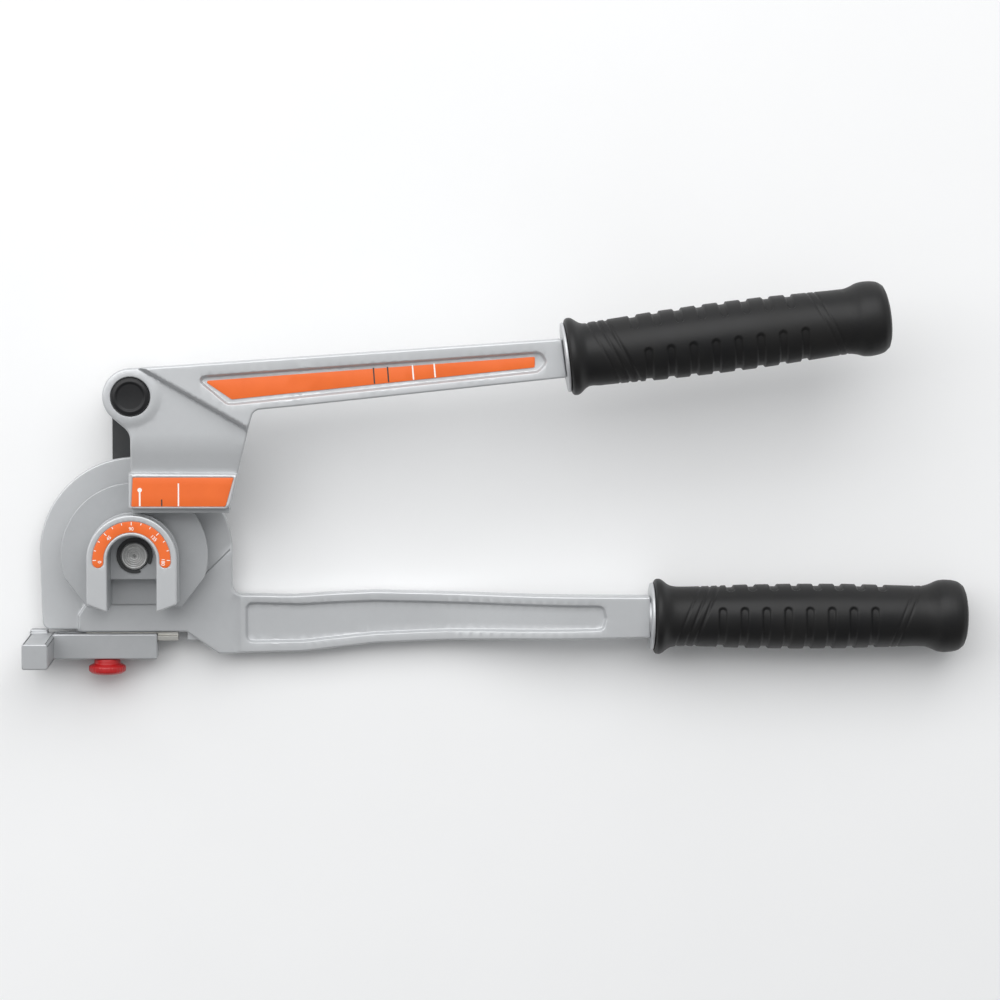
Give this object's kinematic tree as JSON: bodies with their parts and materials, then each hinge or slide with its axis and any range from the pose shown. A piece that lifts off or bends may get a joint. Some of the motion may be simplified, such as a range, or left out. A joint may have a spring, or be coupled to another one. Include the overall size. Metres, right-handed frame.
{
  "type": "tube bender",
  "caption": "Lever-type hand tube bender: stepped forming dies on a fixed handle, a link-carried upper handle with a forming shoe, and a sliding tube hook locked by a pull knob.",
  "frame": {"origin": "centre of the main pin's rear face, on the bending axis, in the plane that the tool lies on", "axes": "+Z along the bending axis, from the back of the tool to its front; +X along the fixed handle, towards its grip; +Y towards the upper handle's pivot with the link at the 90 degree mark"},
  "size_m": [0.5387, 0.2273, 0.0891],
  "materials": {
    "lower_handle_casting": "silver-grey painted casting",
    "rear_die": "silver-grey painted casting",
    "front_die": "silver-grey painted casting",
    "dial_plate": "silver-grey painted casting",
    "dial_label": "orange printed foil",
    "die_screw_1": "zinc-plated steel",
    "die_screw_2": "zinc-plated steel",
    "die_screw_3": "zinc-plated steel",
    "dial_screw_left": "zinc-plated steel",
    "dial_screw_right": "zinc-plated steel",
    "main_pin": "turned steel",
    "main_pin_clip": "dark phosphated steel",
    "hook_rail": "zinc-plated steel",
    "rail_screw_left": "zinc-plated steel",
    "rail_screw_right": "zinc-plated steel",
    "lower_grip": "black moulded rubber",
    "lower_grip_collar": "silver-grey painted casting",
    "link_bar": "dark phosphated steel",
    "link_bush": "plain bearing bronze",
    "link_washer": "zinc-plated steel",
    "link_pin": "turned steel",
    "link_pin_clip": "dark phosphated steel",
    "handle_washer": "zinc-plated steel",
    "upper_handle_casting": "silver-grey painted casting",
    "forming_shoe": "bare machined aluminium",
    "shoe_screw_left": "zinc-plated steel",
    "shoe_screw_right": "zinc-plated steel",
    "shoe_label": "orange printed foil",
    "handle_label": "orange printed foil",
    "handle_bush": "plain bearing bronze",
    "pivot_cap": "black plastic",
    "upper_grip": "black moulded rubber",
    "upper_grip_collar": "silver-grey painted casting",
    "hook_slide": "silver-grey painted casting",
    "plunger_guide": "plain bearing bronze",
    "plunger_spring": "zinc-plated steel",
    "lock_plunger": "turned steel",
    "lock_knob": "red plastic"
  },
  "bodies": {
    "base": {"lower_handle_casting": "lower_handle_casting", "rear_die": "rear_die", "front_die": "front_die", "dial_plate": "dial_plate", "dial_label": "dial_label", "die_screw_1": "die_screw_1", "die_screw_2": "die_screw_2", "die_screw_3": "die_screw_3", "dial_screw_left": "dial_screw_left", "dial_screw_right": "dial_screw_right", "main_pin": "main_pin", "main_pin_clip": "main_pin_clip", "hook_rail": "hook_rail", "rail_screw_left": "rail_screw_left", "rail_screw_right": "rail_screw_right", "lower_grip": "lower_grip", "lower_grip_collar": "lower_grip_collar"},
    "link": {"link_bar": "link_bar", "link_bush": "link_bush", "link_washer": "link_washer", "link_pin": "link_pin", "link_pin_clip": "link_pin_clip", "handle_washer": "handle_washer"},
    "upper_handle": {"upper_handle_casting": "upper_handle_casting", "forming_shoe": "forming_shoe", "shoe_screw_left": "shoe_screw_left", "shoe_screw_right": "shoe_screw_right", "shoe_label": "shoe_label", "handle_label": "handle_label", "handle_bush": "handle_bush", "pivot_cap": "pivot_cap", "upper_grip": "upper_grip", "upper_grip_collar": "upper_grip_collar"},
    "hook": {"hook_slide": "hook_slide", "plunger_guide": "plunger_guide", "plunger_spring": "plunger_spring"},
    "lock": {"lock_plunger": "lock_plunger", "lock_knob": "lock_knob"}
  },
  "joints": [
    {"name": "link_swing", "type": "hinge", "parent": "base", "child": "link", "pos_m": [0, 0, 0], "axis": [0, 0, 1], "range_deg": [-90, 90]},
    {"name": "handle_open", "type": "hinge", "parent": "link", "child": "upper_handle", "pos_m": [0, 0.0917, 0], "axis": [0, 0, 1], "range_deg": [0, 100]},
    {"name": "hook_travel", "type": "slide", "parent": "base", "child": "hook", "axis": [1, 0, 0], "range_m": [0, 0.0163]},
    {"name": "knob_pull", "type": "slide", "parent": "hook", "child": "lock", "axis": [0, -1, 0], "range_m": [0, 0.0025], "stiffness_N_per_m": 800, "springref_m": -0.004}
  ]
}
